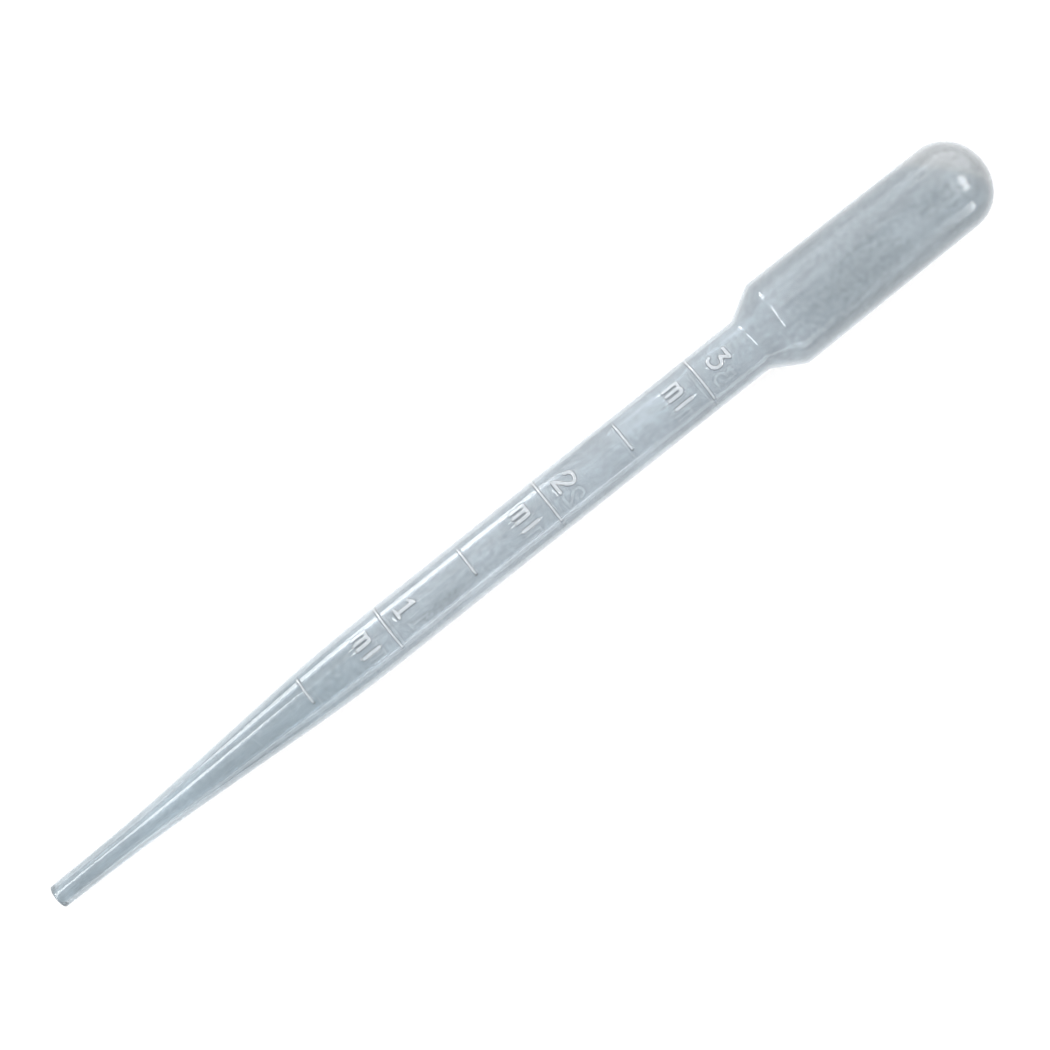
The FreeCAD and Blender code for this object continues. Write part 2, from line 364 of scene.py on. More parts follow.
@dataclass
class Graduation:
    """The raised marks and characters, on the front and again on the back.

    Widths and heights are in millimetres, and spans are in degrees round the axis.

    Attributes:
        wall: The wall that they are raised from.
        marks: The marks, from the bulb down.
        full_span: The span of a mark for a full millilitre.
        half_span: The span of a mark for half a millilitre.
        mark_foot: How wide a mark is at its foot.
        mark_crest: How wide it is along its crest.
        mark_height: How high it is.
        stroke_foot: How wide a character's stroke is at its foot.
        stroke_crest: How wide it is along its crest.
        stroke_height: How high it is.
        stroke_step: The length of the steps that a stroke is divided into.
        margin: How far the fine mesh reaches past a mark or a word.
    """

    wall: Wall
    marks: tuple[Mark, ...] = (
        Mark(107.9, True, (figure(Character.THREE), unit_word())),
        Mark(95.4, False),
        Mark(82.5, True, (figure(Character.TWO), unit_word())),
        Mark(69.5, False),
        Mark(56.1, True, (figure(Character.ONE), unit_word())),
        Mark(42.6, False),
    )
    full_span: float = 105.0
    half_span: float = 59.0
    mark_foot: float = 0.5
    mark_crest: float = 0.24
    mark_height: float = 0.2
    stroke_foot: float = 0.74
    stroke_crest: float = 0.3
    stroke_height: float = 0.17
    stroke_step: float = 0.09
    margin: float = 0.35

    def fine_zones(self) -> list[Point]:
        """Finds the stretches along the pipette where the relief needs a fine mesh.

        Returns:
            Where each begins and ends, in millimetres from the mouth.
        """
        zones = [(mark.place - self.margin, mark.place + self.margin) for mark in self.marks]
        for mark in self.marks:
            for word in mark.words:
                foot = mark.place + word.rise
                zones.append((foot - self.margin, foot + word.height + self.margin))
        return zones

    def strokes(self) -> list[list[Vector]]:
        """Lays the strokes of every character on the front of the wall.

        Returns:
            The points of each stroke, in metres.
        """
        laid = []
        for mark in self.marks:
            for word in mark.words:
                for character, aside in word.letters:
                    for kind, points in character.value:
                        line = self.line(kind, [Vector(point) for point in points])
                        laid.append([self.lay(mark.place + word.rise + p.y, aside + p.x) for p in line])
        return laid

    def line(self, kind: Line, points: list[Vector]) -> list[Vector]:
        """Divides a stroke into short steps.

        Args:
            kind: How it runs between its points.
            points: Its points.

        Returns:
            The points of the divided stroke.
        """
        line = [points[0]]
        for index in range(len(points) - 1):
            before, start = points[max(index - 1, 0)], points[index]
            end, after = points[index + 1], points[min(index + 2, len(points) - 1)]
            steps = max(1, round((end - start).length / self.stroke_step))
            if kind is Line.CURVED:
                poles = (start, start + (end - before) / 6, end - (after - start) / 6, end)
                line += cubic(poles, steps)
            else:
                line += [start.lerp(end, step / steps) for step in range(1, steps + 1)]
        return line

    def lay(self, place: float, aside: float) -> Vector:
        """Lays a point on the front of the wall.

        Args:
            place: Its place along the pipette, in millimetres.
            aside: Its distance round the wall, to the right with the bulb up, in millimetres.

        Returns:
            The point, in metres.
        """
        radius = self.wall.radius_at(place)
        angle = -aside / radius
        return Vector((place, radius * math.sin(angle), radius * math.cos(angle))) * MM


class Nodes:
    """Adds nodes to a node tree, sets their inputs and links them."""

    def __init__(self, tree: bpy.types.NodeTree) -> None:
        """Keeps the tree."""
        self.tree = tree

    def add(self, kind: str, settings: dict[str, Any] | None = None, **inputs: Any) -> bpy.types.Node:
        """Adds a node.

        Args:
            kind: The node's type.
            settings: The node's own properties.
            **inputs: A value or a socket for each input, by its name with underscores for spaces, or by
                an underscore and its number.

        Returns:
            The node.
        """
        node = self.tree.nodes.new(kind)
        for name, value in (settings or {}).items():
            setattr(node, name, value)
        for name, value in inputs.items():
            socket = node.inputs[int(name[1:]) if name[1:].isdigit() else name.replace("_", " ")]
            if isinstance(value, bpy.types.Node):
                value = value.outputs[0]
            if isinstance(value, bpy.types.NodeSocket):
                self.tree.links.new(value, socket)
            else:
                socket.default_value = value
        return node

    def join(self, *parts: bpy.types.Node) -> bpy.types.Node:
        """Adds a node that joins geometry.

        Args:
            *parts: The nodes that give what is joined.

        Returns:
            The node.
        """
        node = self.tree.nodes.new("GeometryNodeJoinGeometry")
        for part in parts:
            self.tree.links.new(part.outputs[0], node.inputs[0])
        return node

    def math(self, operation: str, *values: Any) -> bpy.types.Node:
        """Adds a node that works out one number."""
        numbered = {f"_{index}": value for index, value in enumerate(values)}
        return self.add("ShaderNodeMath", {"operation": operation}, **numbered)

    def vector_math(self, operation: str, *values: Any) -> bpy.types.Node:
        """Adds a node that works out one vector."""
        numbered = {f"_{index}": value for index, value in enumerate(values)}
        return self.add("ShaderNodeVectorMath", {"operation": operation}, **numbered)


def new_group(name: str, kind: str, inputs: dict[str, tuple], outputs: dict[str, str]) -> bpy.types.NodeTree:
    """Makes an empty node group.

    Args:
        name: Its name.
        kind: The type of its tree.
        inputs: For each input, its type's short name and, for a number, its default.
        outputs: For each output, its type's short name.

    Returns:
        The group.
    """
    group = bpy.data.node_groups.new(name, kind)
    for title, (short, *default) in inputs.items():
        socket = group.interface.new_socket(title, in_out="INPUT", socket_type=f"NodeSocket{short}")
        if default:
            socket.default_value = default[0]
    for title, short in outputs.items():
        group.interface.new_socket(title, in_out="OUTPUT", socket_type=f"NodeSocket{short}")
    return group


def relief_group() -> bpy.types.NodeTree:
    """Builds the group that raises a wall along lines that lie on it.

    Returns:
        The group, with the wall, the lines, the widths of foot and crest, and the height as its inputs.
    """
    group = new_group(
        "Relief",
        "GeometryNodeTree",
        {
            "Wall": ("Geometry",),
            "Lines": ("Geometry",),
            "Foot Width": ("Float", 0.0005),
            "Crest Width": ("Float", 0.0002),
            "Height": ("Float", 0.0002),
        },
        {"Wall": "Geometry"},
    )
    nodes = Nodes(group)
    given = nodes.add("NodeGroupInput").outputs
    near = nodes.add("GeometryNodeProximity", {"target_element": "EDGES"}, _0=given["Lines"])
    height = nodes.add(
        "ShaderNodeMapRange",
        {"interpolation_type": "SMOOTHSTEP"},
        _0=near.outputs["Distance"],
        _1=nodes.math("MULTIPLY", given["Crest Width"], 0.5),
        _2=nodes.math("MULTIPLY", given["Foot Width"], 0.5),
        _3=given["Height"],
        _4=0.0,
    )
    outward = nodes.vector_math(
        "NORMALIZE", nodes.vector_math("MULTIPLY", nodes.add("GeometryNodeInputPosition"), (0.0, 1.0, 1.0))
    )
    offset = nodes.add("ShaderNodeVectorMath", {"operation": "SCALE"}, _0=outward, Scale=height)
    before = nodes.add("GeometryNodeInputNamedAttribute", {"data_type": "FLOAT"}, Name=RELIEF)
    share = nodes.math("MAXIMUM", before, nodes.math("DIVIDE", height, given["Height"]))
    marked = nodes.add(
        "GeometryNodeStoreNamedAttribute",
        {"data_type": "FLOAT", "domain": "POINT"},
        Geometry=given["Wall"],
        Name=RELIEF,
        Value=share,
    )
    raised = nodes.add("GeometryNodeSetPosition", Geometry=marked, Offset=offset)
    nodes.add("NodeGroupOutput", Wall=raised)
    return group


class MouldingTree:
    """The Geometry Nodes tree that makes the moulding.

    It sweeps the section of the wall round the axis, raises the marks and the characters on the front and
    the back, and lays the moulding down.

    Attributes:
        INPUTS: The tree's inputs: for each, its type's short name and, for a number, its default.
        WELD: How close points are merged, in metres, at the seam and on the axis.
        ARC_POINTS: The number of points along the arc of a mark.
    """

    INPUTS: dict[str, tuple] = {
        "Section": ("Geometry",),
        "Ring": ("Object",),
        "Mark Places": ("Object",),
        "Characters": ("Object",),
        "Full Mark Span": ("Float", 105.0),
        "Half Mark Span": ("Float", 59.0),
        "Mark Foot Width": ("Float", 0.0005),
        "Mark Crest Width": ("Float", 0.0002),
        "Mark Height": ("Float", 0.0002),
        "Stroke Foot Width": ("Float", 0.0004),
        "Stroke Crest Width": ("Float", 0.0001),
        "Stroke Height": ("Float", 0.0002),
        "Mouth": ("Vector",),
        "Stance": ("Rotation",),
        "Finish": ("Material",),
    }
    WELD: float = 1e-7
    ARC_POINTS: int = 96

    def __init__(self) -> None:
        """Builds the tree."""
        self.tree = new_group("Moulding", "GeometryNodeTree", self.INPUTS, {"Moulding": "Geometry"})
        self.nodes = Nodes(self.tree)
        self.given = self.nodes.add("NodeGroupInput").outputs
        relief = relief_group()
        wall = self.swept()
        for lines, name in ((self.mark_lines(), "Mark"), (self.held("Characters"), "Stroke")):
            wall = self.nodes.add(
                "GeometryNodeGroup",
                {"node_tree": relief},
                Wall=wall,
                Lines=self.on_both_sides(lines),
                Foot_Width=self.given[f"{name} Foot Width"],
                Crest_Width=self.given[f"{name} Crest Width"],
                Height=self.given[f"{name} Height"],
            )
        self.lay_down(wall)

    def held(self, name: str) -> bpy.types.Node:
        """Adds a node that brings in the mesh of an object that the tree is given."""
        info = self.nodes.add("GeometryNodeObjectInfo", Object=self.given[name])
        return self.nodes.add("GeometryNodeRealizeInstances", _0=info.outputs["Geometry"])

    def swept(self) -> bpy.types.Node:
        """Sweeps the section round the ring.

        Returns:
            The node that gives the closed wall, its faces outwards.
        """
        nodes = self.nodes
        section, ring = self.given["Section"], self.held("Ring")
        across = nodes.add("GeometryNodeAttributeDomainSize", Geometry=ring).outputs["Point Count"]
        along = nodes.add("GeometryNodeAttributeDomainSize", Geometry=section).outputs["Point Count"]
        grid = nodes.add("GeometryNodeMeshGrid", Vertices_X=along, Vertices_Y=across)
        index = nodes.add("GeometryNodeInputIndex")
        place = nodes.add("GeometryNodeInputPosition")
        row = nodes.add("FunctionNodeIntegerMath", {"operation": "DIVIDE_FLOOR"}, _0=index, _1=across)
        column = nodes.add("FunctionNodeIntegerMath", {"operation": "MODULO"}, _0=index, _1=across)
        vectors = {"data_type": "FLOAT_VECTOR", "domain": "POINT"}
        on_section, on_ring = (
            nodes.add("GeometryNodeSampleIndex", vectors, Geometry=source, Value=place, Index=which)
            for source, which in ((section, row), (ring, column))
        )
        point, spoke = (nodes.add("ShaderNodeSeparateXYZ", _0=sample) for sample in (on_section, on_ring))
        radius = point.outputs["Z"]
        spun = nodes.add(
            "ShaderNodeCombineXYZ",
            X=point.outputs["X"],
            Y=nodes.math("MULTIPLY", radius, spoke.outputs["Y"]),
            Z=nodes.math("MULTIPLY", radius, spoke.outputs["Z"]),
        )
        swept = nodes.add("GeometryNodeSetPosition", Geometry=grid, Position=spun)
        return nodes.add("GeometryNodeMergeByDistance", Geometry=swept, Distance=self.WELD)

    def mark_lines(self) -> bpy.types.Node:
        """Lays an arc over the front of the wall at each mark's place.

        Returns:
            The node that gives the arcs as edges.
        """
        nodes = self.nodes
        places = self.held("Mark Places")
        radius = nodes.add("GeometryNodeInputNamedAttribute", {"data_type": "FLOAT"}, Name="wall_radius")
        full = nodes.add("GeometryNodeInputNamedAttribute", {"data_type": "BOOLEAN"}, Name="full")
        half = nodes.add("FunctionNodeBooleanMath", {"operation": "NOT"}, _0=full)
        rows = []
        for chosen, span in ((full, "Full Mark Span"), (half, "Half Mark Span")):
            sweep = nodes.math("RADIANS", self.given[span])
            arc = nodes.add(
                "GeometryNodeCurveArc",
                Resolution=self.ARC_POINTS,
                _4=1.0,
                Start_Angle=nodes.math("SUBTRACT", math.pi / 2, nodes.math("MULTIPLY", sweep, 0.5)),
                Sweep_Angle=sweep,
            )
            edges = nodes.add("GeometryNodeCurveToMesh", Curve=arc)
            upright = nodes.add(
                "GeometryNodeTransform", Geometry=edges, Rotation=(math.pi / 2, 0, math.pi / 2)
            )
            rows.append(
                nodes.add(
                    "GeometryNodeInstanceOnPoints",
                    Points=places,
                    Selection=chosen,
                    Instance=upright,
                    Scale=radius,
                )
            )
        return nodes.add("GeometryNodeRealizeInstances", _0=nodes.join(*rows))

    def on_both_sides(self, lines: bpy.types.Node) -> bpy.types.Node:
        """Adds nodes that repeat lines on the back, half a turn round the axis."""
        back = self.nodes.add("GeometryNodeTransform", Geometry=lines, Rotation=(math.pi, 0, 0))
        return self.nodes.join(lines, back)

    def lay_down(self, wall: bpy.types.Node) -> None:
        """Lays the wall down, gives it its finish and puts it out.

        Args:
            wall: The node that gives the wall.
        """
        nodes = self.nodes
        laid = nodes.add(
            "GeometryNodeTransform",
            Geometry=wall,
            Translation=self.given["Mouth"],
            Rotation=self.given["Stance"],
        )
        smooth = nodes.add("GeometryNodeSetShadeSmooth", Geometry=laid)
        realized = nodes.add("GeometryNodeRealizeInstances", _0=smooth)
        finished = nodes.add("GeometryNodeSetMaterial", Geometry=realized, Material=self.given["Finish"])
        nodes.add("NodeGroupOutput", Moulding=finished)

    def fill(self, modifier: bpy.types.Modifier, values: dict[str, Any]) -> None:
        """Sets the inputs of a modifier that uses the tree.

        Args:
            modifier: The modifier.
            values: A value for each input, by its name.
        """
        for item in self.tree.interface.items_tree:
            if item.in_out == "INPUT" and item.name in values:
                modifier[item.identifier] = values[item.name]


def painted_rib_light_group() -> bpy.types.NodeTree:
    """Builds the group that paints light and shade onto raised lines: painted shade on their slopes, where
    light bends away, and a painted highlight along their crests, where it catches.

    Returns:
        The group: it takes a colour, how far the wall is raised, the painted shade for the slopes and the
            painted highlight for the crests.
    """
    group = new_group(
        "Ribs Painted Light",
        "ShaderNodeTree",
        {
            "Colour": ("Color",),
            "Raised": ("Float", 0.0),
            "Slope Colour": ("Color",),
            "Crest Colour": ("Color",),
        },
        {"Colour": "Color"},
    )
    nodes = Nodes(group)
    given = nodes.add("NodeGroupInput").outputs
    raised = given["Raised"]
    begins, full = 0.55, 0.95
    # This mask places the painted highlight along the top of each raised line.
    crest = nodes.add(
        "ShaderNodeMapRange", {"interpolation_type": "SMOOTHSTEP"}, _0=raised, _1=begins, _2=full
    )
    # Four times the share times what is left of it is 1 half-way up and 0 at the foot and the crest: it
    # places the painted shade on the slopes.
    slope = nodes.math("MULTIPLY", nodes.math("MULTIPLY", raised, nodes.math("SUBTRACT", 1.0, raised)), 4.0)
    colour = given["Colour"]
    for mask, tint in ((slope, "Slope Colour"), (crest, "Crest Colour")):
        mixed = nodes.add("ShaderNodeMix", {"data_type": "RGBA"}, _0=mask, _6=colour, _7=given[tint])
        colour = mixed.outputs[2]
    nodes.add("NodeGroupOutput", Colour=colour)
    return group


def mottling_group() -> bpy.types.NodeTree:
    """Builds the group that gives the uneven thickness of a blown wall.

    Returns:
        The group: a mask of soft patches, and the height of a fine skin.
    """
    group = new_group(
        "Mottling",
        "ShaderNodeTree",
        {
            "Patch Scale": ("Float", 300.0),
            "Streak Stretch": ("Float", 0.3),
            "Skin Scale": ("Float", 1500.0),
            "Grain": ("Float", 0.5),
        },
        {"Patches": "Float", "Skin": "Float"},
    )
    nodes = Nodes(group)
    given = nodes.add("NodeGroupInput").outputs
    place = nodes.add("ShaderNodeTexCoord").outputs["Object"]
    stretch = nodes.add("ShaderNodeCombineXYZ", X=given["Streak Stretch"], Y=1.0, Z=1.0)
    along = nodes.vector_math("MULTIPLY", place, stretch)
    patches = nodes.add(
        "ShaderNodeTexNoise", Vector=along, Scale=given["Patch Scale"], Detail=5.0, Roughness=0.65
    )
    skin = nodes.add(
        "ShaderNodeTexNoise", Vector=place, Scale=given["Skin Scale"], Detail=2.0, Roughness=0.6
    )
    grain = nodes.math("MULTIPLY_ADD", skin, given["Grain"], nodes.math("MULTIPLY", given["Grain"], -0.5))
    nodes.add("NodeGroupOutput", Patches=nodes.math("ADD", patches, grain), Skin=skin)
    return group


@dataclass(frozen=True)
class Polyethylene:
    """Semi-clear natural polyethylene, as it leaves the mould, with light and shade painted onto its raised
    lines.

    Attributes:
        drawn: The colour of the drawn tip and the taper.
        stem: The colour of the stem.
        stem_blend: Where the stem's colour sets in and is full, from the taper's head, in millimetres.
        blown: The colour of the bulb, which sets in at the neck.
        blown_blend: How far past the shoulder the bulb's colour is full, in millimetres.
        crown: A paler colour laid over the bulb's end.
        crown_blend: How far before the bulb's end the crown sets in and is full, in millimetres.
        crown_slant: How steeply the crown's edge runs across the bulb.
        sheen: How strongly the soft skin shines where it is seen edge-on.
        sheen_roughness: How far that shine spreads inwards from the edge.
        sheen_tint: The colour of that shine.
        slope: The painted shade on the slopes of a raised line, dark where light bends away.
        crest: The painted highlight along its crest, white where it catches the light.
        patch_scale: How fine the patches of the wall are.
        patch_range: The values of the patches that count as dark and as pale.
        streak_stretch: How far the patches are drawn out along the pipette; less is longer.
        skin_scale: How fine the skin's ripple is.
        grain: How much of that ripple shows in the patches.
        haze: How dark and how pale the patches are, as shares of the wall's colour.
        clearness: The share of light that passes through.
        index: The refractive index.
        roughness: The lowest and the highest roughness of the skin.
        blown_roughness: How much rougher the bulb is.
        skin_depth: The depth of the skin's ripple, in metres.
        skin_strength: How strongly the ripple tells.
    """

    drawn: Colour = (0.493, 0.554, 0.591, 1.0)
    stem: Colour = (0.56, 0.607, 0.64, 1.0)
    stem_blend: Point = (-8.0, 14.0)
    blown: Colour = (0.495, 0.539, 0.569, 1.0)
    blown_blend: float = 12.0
    crown: Colour = (0.575, 0.595, 0.605, 1.0)
    crown_blend: Point = (5.4, 3.4)
    crown_slant: float = 0.8
    sheen: float = 0.5
    sheen_roughness: float = 0.35
    sheen_tint: Colour = (0.9, 0.96, 1.0, 1.0)
    # Painted shade for the slopes and a painted highlight for the crests of the raised lines.
    slope: Colour = (0.06, 0.07, 0.08, 1.0)
    crest: Colour = (1.0, 1.0, 1.0, 1.0)
    patch_scale: float = 260.0
    patch_range: Point = (0.3, 0.7)
    streak_stretch: float = 0.35
    skin_scale: float = 1400.0
    grain: float = 0.65
    haze: Point = (0.83, 1.15)
    clearness: float = 0.86
    index: float = 1.5
    roughness: Point = (0.06, 0.12)
    blown_roughness: float = 0.1
    skin_depth: float = 0.000008
    skin_strength: float = 0.5

    def material(self, wall: Wall, mouth: Vector) -> bpy.types.Material:
        """Makes the material.

        Args:
            wall: The wall that it covers.
            mouth: Where the mouth of the tip lies.

        Returns:
            The material.
        """
        material = bpy.data.materials.new("clear_polyethylene")
        material.use_nodes = True
        nodes = Nodes(material.node_tree)
        material.node_tree.nodes.clear()
        mottling = nodes.add(
            "ShaderNodeGroup",
            {"node_tree": mottling_group()},
            Patch_Scale=self.patch_scale,
            Streak_Stretch=self.streak_stretch,
            Skin_Scale=self.skin_scale,
            Grain=self.grain,
        )
        patches = mottling.outputs["Patches"]
        stem, blown, crown = self.stretches(nodes, wall, mouth)
        colour = self.drawn
        for mask, paint in ((stem, self.stem), (blown, self.blown), (crown, self.crown)):
            mixed = nodes.add("ShaderNodeMix", {"data_type": "RGBA"}, _0=mask, _6=colour, _7=paint)
            colour = mixed.outputs[2]
        hazed = nodes.add(
            "ShaderNodeVectorMath",
            {"operation": "SCALE"},
            _0=colour,
            Scale=self.varied(nodes, patches, self.haze),
        )
        # Paints light and shade onto the marks and characters: painted shade on their slopes and a painted
        # highlight on their crests.
        rib_painted_light = nodes.add(
            "ShaderNodeGroup",
            {"node_tree": painted_rib_light_group()},
            Colour=hazed,
            Raised=nodes.add("ShaderNodeAttribute", {"attribute_name": RELIEF}).outputs["Fac"],
            Slope_Colour=self.slope,
            Crest_Colour=self.crest,
        )
        smooth = self.varied(nodes, patches, self.roughness)
        bump = nodes.add(
            "ShaderNodeBump",
            Strength=self.skin_strength,
            Distance=self.skin_depth,
            Height=mottling.outputs["Skin"],
        )
        principled = nodes.add(
            "ShaderNodeBsdfPrincipled",
            Base_Color=rib_painted_light,
            Roughness=nodes.math("MULTIPLY_ADD", blown, self.blown_roughness, smooth),
            IOR=self.index,
            Normal=bump,
        )
        principled.inputs["Transmission Weight"].default_value = self.clearness
        principled.inputs["Sheen Weight"].default_value = self.sheen
        principled.inputs["Sheen Roughness"].default_value = self.sheen_roughness
        principled.inputs["Sheen Tint"].default_value = self.sheen_tint
        nodes.add("ShaderNodeOutputMaterial", Surface=principled)
        return material

    def stretches(self, nodes: Nodes, wall: Wall, mouth: Vector) -> list[bpy.types.Node]:
        """Adds masks that tell the stretches of the wall apart.

        Args:
            nodes: The material's nodes.
            wall: The wall that it covers.
            mouth: Where the mouth of the tip lies.

        Returns:
            A mask each that is full from the stem on, from the bulb on and on the crown.
        """
        place = nodes.add("ShaderNodeSeparateXYZ", _0=nodes.add("ShaderNodeTexCoord").outputs["Object"])
        along = place.outputs["X"]
        slanted = nodes.math("MULTIPLY_ADD", place.outputs["Y"], self.crown_slant, along)
        stem_start, stem_full = (wall.head + blend for blend in self.stem_blend)
        crown_start, crown_full = (wall.end - blend for blend in self.crown_blend)
        return [
            nodes.add(
                "ShaderNodeMapRange",
                {"interpolation_type": "SMOOTHSTEP"},
                _0=way,
                _1=mouth.x + start * MM,
                _2=mouth.x + full * MM,
            )
            for way, start, full in (
                (along, stem_start, stem_full),
                (along, wall.neck, wall.shoulder + self.blown_blend),
                (slanted, crown_start, crown_full),
            )
        ]

    def varied(self, nodes: Nodes, patches: bpy.types.NodeSocket, ends: Point) -> bpy.types.Node:
        """Adds a node that gives one value in the dark patches and another in the pale ones."""
        dark, pale = self.patch_range
        return nodes.add("ShaderNodeMapRange", _0=patches, _1=dark, _2=pale, _3=ends[0], _4=ends[1])


def mesh_object(
    name: str, points: Iterable[Vector], edges: Iterable[tuple[int, int]] = ()
) -> bpy.types.Object:
    """Makes an object of points and edges.

    Args:
        name: Its name.
        points: Its points, in metres.
        edges: Its edges.

    Returns:
        The object, linked to the scene.
    """
    mesh = bpy.data.meshes.new(name)
    mesh.from_pydata(list(points), list(edges), [])
    thing = bpy.data.objects.new(name, mesh)
    bpy.context.scene.collection.objects.link(thing)
    return thing


@dataclass
class Moulding:
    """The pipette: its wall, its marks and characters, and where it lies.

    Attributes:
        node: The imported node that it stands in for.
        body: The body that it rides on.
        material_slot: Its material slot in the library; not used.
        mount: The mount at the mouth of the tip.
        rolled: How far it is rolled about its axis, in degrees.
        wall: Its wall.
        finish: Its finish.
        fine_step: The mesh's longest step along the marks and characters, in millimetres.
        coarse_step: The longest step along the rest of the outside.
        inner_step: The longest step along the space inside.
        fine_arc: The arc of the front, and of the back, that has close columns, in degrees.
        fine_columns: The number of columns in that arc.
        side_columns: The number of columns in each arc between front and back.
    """

    node: str = "pipette_body"
    body: str = "root"
    material_slot: str = "clear_polyethylene"
    mount: str = "mouth"
    rolled: float = -17.0
    wall: Wall = field(default_factory=Wall)
    finish: Polyethylene = Polyethylene()
    fine_step: float = 0.08
    coarse_step: float = 1.3
    inner_step: float = 1.6
    fine_arc: float = 60.0
    fine_columns: int = 52
    side_columns: int = 20

    def __post_init__(self) -> None:
        """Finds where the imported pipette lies, from its mouth's mount."""
        self.graduation = Graduation(self.wall)
        mount = next(mount for mount in frame["record"]["mounts"] if mount["name"] == self.mount)
        outward = Vector(mount["axis"])
        depth = mount["dims"]["length_mm"] * MM / 2
        self.axis = -outward
        self.mouth = Vector(mount["pos_m"]) + outward * depth
        pitch = -math.asin(self.axis.z)
        self.stance = Euler((math.radians(self.rolled), pitch, 0.0))

    def section(self) -> bpy.types.Object:
        """Makes the section of the wall.

        Returns:
            The section, from the end of the space inside round the mouth to the end of the bulb.
        """
        zones = self.graduation.fine_zones()
        outside = divided(self.wall.outside(), self.coarse_step, self.fine_step, zones)
        inside = divided(self.wall.inside(), self.inner_step, self.inner_step, [])
        outline = inside[::-1] + outside[1:]
        points = [Vector((point.x, 0.0, point.y)) * MM for point in outline]
        return mesh_object(self.node + "_visual", points, zip(range(len(points) - 1), range(1, len(points))))

    def ring(self) -> bpy.types.Object:
        """Makes the ring that the section is swept round.

        Returns:
            A point for each spoke, at a unit's distance, closest together at the front and the back.
        """
        fine, side = math.radians(self.fine_arc), math.pi - math.radians(self.fine_arc)
        angles = [-fine / 2]
        for arc, columns in ((fine, self.fine_columns), (side, self.side_columns)) * 2:
            start = angles[-1]
            angles += [start + arc * (column + 1) / columns for column in range(columns)]
        spokes = [Vector((0.0, math.sin(angle), math.cos(angle))) for angle in angles]
        spokes[-1] = spokes[0].copy()
        return mesh_object("ring", spokes)

    def mark_places(self) -> bpy.types.Object:
        """Makes a point for each mark.

        Returns:
            The points, which carry the radius of the wall there and whether the mark is a full one.
        """
        marks = self.graduation.marks
        places = mesh_object("mark_places", [Vector((mark.place * MM, 0.0, 0.0)) for mark in marks])
        radii = places.data.attributes.new("wall_radius", "FLOAT", "POINT")
        radii.data.foreach_set("value", [self.wall.radius_at(mark.place) * MM for mark in marks])
        full = places.data.attributes.new("full", "BOOLEAN", "POINT")
        full.data.foreach_set("value", [mark.full for mark in marks])
        return places

    def characters(self) -> bpy.types.Object:
        """Makes the strokes of the characters.

        Returns:
            Their lines, as edges on the front of the wall.
        """
        points: list[Vector] = []
        edges: list[tuple[int, int]] = []
        for stroke in self.graduation.strokes():
            first = len(points)
            points += stroke
            edges += [(index, index + 1) for index in range(first, len(points) - 1)]
        return mesh_object("characters", points, edges)

    def build(self) -> bpy.types.Object:
        """Builds the moulding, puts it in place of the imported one, and dresses it.

        Returns:
            The piece.
        """
        piece = self.section()
        helpers = {"Ring": self.ring(), "Mark Places": self.mark_places(), "Characters": self.characters()}
        finish = self.finish.material(self.wall, self.mouth)
        tree = MouldingTree()
        modifier = piece.modifiers.new("moulding", "NODES")
        modifier.node_group = tree.tree
        relief = self.graduation
        sizes = {
            "Mark Foot Width": relief.mark_foot * MM,
            "Mark Crest Width": relief.mark_crest * MM,
            "Mark Height": relief.mark_height * MM,
            "Stroke Foot Width": relief.stroke_foot * MM,
            "Stroke Crest Width": relief.stroke_crest * MM,
            "Stroke Height": relief.stroke_height * MM,
            "Full Mark Span": relief.full_span,
            "Half Mark Span": relief.half_span,
            "Mouth": self.mouth,
            "Stance": self.stance,
            "Finish": finish,
        }
        tree.fill(modifier, helpers | sizes)
        self.make_plain(piece, helpers.values())
        piece.data.materials.clear()  # The grid brings an empty slot ahead of the finish.
        piece.data.materials.append(finish)
        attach(piece, self.body)
        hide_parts(self.node)
        return piece

    def make_plain(self, piece: bpy.types.Object, helpers: Iterable[bpy.types.Object]) -> None:
        """Turns the piece into a plain mesh and removes what only helped to make it.

        Args:
            piece: The piece, with its modifier.
            helpers: The objects that the modifier reads.
        """
        evaluated = piece.evaluated_get(bpy.context.evaluated_depsgraph_get())
        mesh = bpy.data.meshes.new_from_object(evaluated)
        piece.modifiers.clear()
        piece.data = mesh
        for helper in helpers:
            bpy.data.objects.remove(helper)


def divided(outline: list[Vector], coarse: float, fine: float, zones: list[Point]) -> list[Vector]:
    """Divides the long runs of an outline into steps, shorter where the relief is.

    Args:
        outline: Its points, in millimetres.
        coarse: The longest step outside the zones.
        fine: The longest step inside the zones.
        zones: The stretches that take the fine steps.

    Returns:
        The points of the divided outline.
    """
    edges = sorted({edge for zone in zones for edge in zone})
    points = [outline[0]]
    for start, end in zip(outline, outline[1:]):
        stops = [end]
        if end.x > start.x:
            stops = [start.lerp(end, (edge - start.x) / (end.x - start.x)) for edge in edges
                     if start.x < edge < end.x] + stops
        for stop in stops:
            before = points[-1]
            middle = (before.x + stop.x) / 2
            step = fine if any(low < middle < high for low, high in zones) else coarse
            steps = max(1, math.ceil((stop - before).length / step - SLACK))
            points += [before.lerp(stop, count / steps) for count in range(1, steps + 1)]
    return points


